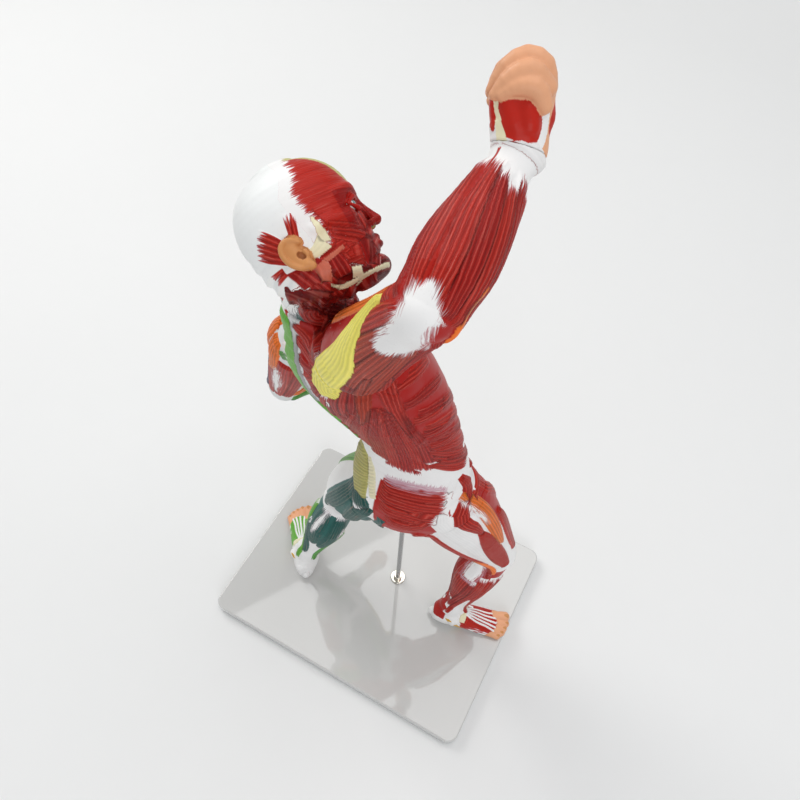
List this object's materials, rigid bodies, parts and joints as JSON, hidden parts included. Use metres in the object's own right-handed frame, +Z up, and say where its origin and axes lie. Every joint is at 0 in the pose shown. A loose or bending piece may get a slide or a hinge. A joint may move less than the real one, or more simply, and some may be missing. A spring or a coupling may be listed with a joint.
{
  "type": "human muscle anatomy figure on a stand",
  "caption": "Posed anatomical muscle figure of painted plastic, standing in a lunge with one fist raised, held by a steel rod on a flat rectangular base.",
  "frame": {"origin": "centre of the base plate's underside", "axes": "+X along the plate's long side, +Y along its short side towards the front of the figure's pelvis, +Z up"},
  "size_m": [0.2409, 0.1998, 0.5187],
  "materials": {
    "white_tray": "very glossy white moulded plastic",
    "grey_cover": "matt pale grey plastic, hidden underneath",
    "screw_steel": "zinc plated screws",
    "rod_steel": "plain drawn steel rod",
    "nickel": "nickel plated turned ring",
    "zinc_washer": "zinc plated washer",
    "zinc_nut": "zinc plated hexagon nut",
    "socket_plastic": "plastic sleeve set in the casting",
    "pin_steel": "steel locating pins",
    "muscle_red": "hand painted and varnished crimson muscle with white tendons",
    "muscle_teal": "hand painted and varnished teal muscle with white tendons",
    "head_white": "varnished white skull cap with painted face muscles",
    "skin_tan": "varnished tan skin paint",
    "foot_green": "varnished green muscle with white tendons",
    "plug_plastic": "glued locating plugs, hidden inside"
  },
  "bodies": {
    "base": {"base_shell": "white_tray", "base_cover": "grey_cover", "cover_screws": "screw_steel", "support_rod": "rod_steel", "rod_collar": "nickel"},
    "washer": {"rod_washer": "zinc_washer"},
    "nut": {"rod_nut": "zinc_nut"},
    "figure": {"rod_socket": "socket_plastic", "right_foot_pin": "pin_steel", "left_foot_pin": "pin_steel", "torso": "muscle_red", "head": "head_white", "right_arm": "muscle_red", "left_arm": "muscle_red", "right_leg": "muscle_red", "left_leg": "muscle_teal", "right_fist": "skin_tan", "left_fist": "skin_tan", "right_foot": "muscle_red", "left_foot": "foot_green", "neck_plug": "plug_plastic", "right_shoulder_plug": "plug_plastic", "left_shoulder_plug": "plug_plastic", "right_hip_plug": "plug_plastic", "left_hip_plug": "plug_plastic"}
  },
  "joints": [
    {"name": "figure_lift", "type": "slide", "parent": "base", "child": "figure", "axis": [0, 0, 1], "range_m": [0, 0.09]},
    {"name": "washer_drop", "type": "slide", "parent": "base", "child": "washer", "axis": [0, 0, -1], "range_m": [0, 0.0022]},
    {"name": "nut_turn", "type": "hinge", "parent": "washer", "child": "nut", "pos_m": [0.0127, 0.0079, 0.0046], "axis": [0, 0, -1], "range_deg": [0, 1080]}
  ],
  "couplings": [
    {"joint": "washer_drop", "follows": "nut_turn", "m_per_rad": 0.00011141}
  ]
}
